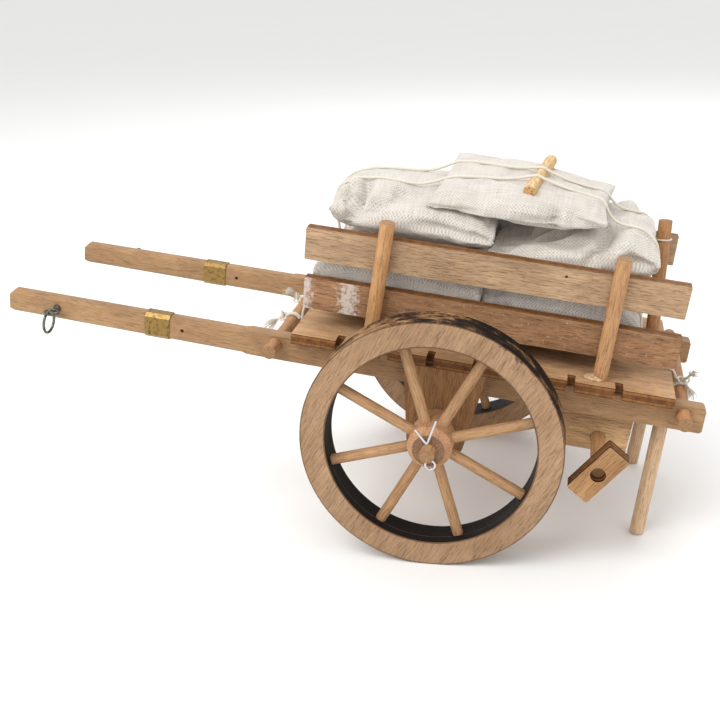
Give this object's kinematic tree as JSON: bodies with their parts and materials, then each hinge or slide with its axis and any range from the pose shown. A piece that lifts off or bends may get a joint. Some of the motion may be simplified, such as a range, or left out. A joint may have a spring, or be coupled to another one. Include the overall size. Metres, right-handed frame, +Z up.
{
  "type": "hand cart",
  "caption": "Miniature two-wheeled wooden hand cart with spoked wheels, long shafts, slatted sides, a brake rod, prop legs and a lashed load of linen sacks.",
  "frame": {"origin": "on the ground under the middle of the cart: the middle of the bounding box in length and width, at the height of the tyres and leg feet", "axes": "+X along the cart from the grips of the shafts to the rear, +Y to the right-hand side of someone who pulls it, +Z up"},
  "size_m": [0.1982, 0.1046, 0.1018],
  "materials": {
    "shaft_wood": "sanded, unvarnished",
    "plywood": "birch plywood, faces sanded, edges burnt by the cut",
    "dowel": "sanded dowel",
    "hub_wood": "turned",
    "stained_wood": "stained",
    "brass": "aged sheet",
    "iron_wire": "blackened wire",
    "steel_wire": "bright wire",
    "linen": "plain weave, undyed",
    "cotton_cord": "twisted cotton",
    "cane": "peeled cane"
  },
  "bodies": {
    "cart": {"shaft_left": "shaft_wood", "shaft_right": "shaft_wood", "band_left": "brass", "band_right": "brass", "screw_eye_left": "iron_wire", "screw_eye_right": "iron_wire", "front_cross_bar": "dowel", "rear_cross_bar": "dowel", "deck": "plywood", "lower_board_left": "plywood", "lower_board_right": "plywood", "upper_board_left": "plywood", "upper_board_right": "plywood", "front_stake_left": "dowel", "front_stake_right": "dowel", "rear_stake_left": "dowel", "rear_stake_right": "dowel", "lashing_stake": "stained_wood", "lashing_slat": "stained_wood", "axle_panel_left": "plywood", "axle_panel_right": "plywood", "rear_panel_left": "plywood", "rear_panel_right": "plywood", "axle": "dowel", "split_pin_left": "steel_wire", "split_pin_right": "steel_wire", "leg_left": "dowel", "leg_right": "dowel", "sack_lower_front": "linen", "sack_lower_rear": "linen", "sack_front": "linen", "sack_rear": "linen", "sack_far": "linen", "sack_top": "linen", "cane_stick": "cane", "lashing_near": "cotton_cord", "lashing_far": "cotton_cord", "front_knots": "cotton_cord", "rear_knots": "cotton_cord"},
    "left_wheel": {"wheel_face_left": "plywood", "wheel_core_left": "plywood", "wheel_back_left": "plywood", "spokes_left": "dowel", "hub_left": "hub_wood"},
    "right_wheel": {"wheel_face_right": "plywood", "wheel_core_right": "plywood", "wheel_back_right": "plywood", "spokes_right": "dowel", "hub_right": "hub_wood"},
    "brake": {"brake_rod": "dowel", "brake_block_left": "plywood", "brake_block_right": "plywood"},
    "left_ring": {"ring_left": "iron_wire"},
    "right_ring": {"ring_right": "iron_wire"}
  },
  "joints": [
    {"name": "left_wheel_turn", "type": "hinge", "parent": "cart", "child": "left_wheel", "pos_m": [0.02756, -0.0431, 0.0353], "axis": [0, 1, 0], "continuous": true},
    {"name": "right_wheel_turn", "type": "hinge", "parent": "cart", "child": "right_wheel", "pos_m": [0.02756, 0.0431, 0.0353], "axis": [0, 1, 0], "continuous": true},
    {"name": "brake_turn", "type": "hinge", "parent": "cart", "child": "brake", "pos_m": [0.07138, 0, 0.02967], "axis": [0, 1, 0], "continuous": true},
    {"name": "left_ring_swing", "type": "hinge", "parent": "cart", "child": "left_ring", "pos_m": [-0.08397, -0.03301, 0.06426], "axis": [-0.99, 0, 0.141], "range_deg": [0, 120]},
    {"name": "right_ring_swing", "type": "hinge", "parent": "cart", "child": "right_ring", "pos_m": [-0.08397, 0.03301, 0.06426], "axis": [0.99, 0, -0.141], "range_deg": [0, 120]}
  ]
}
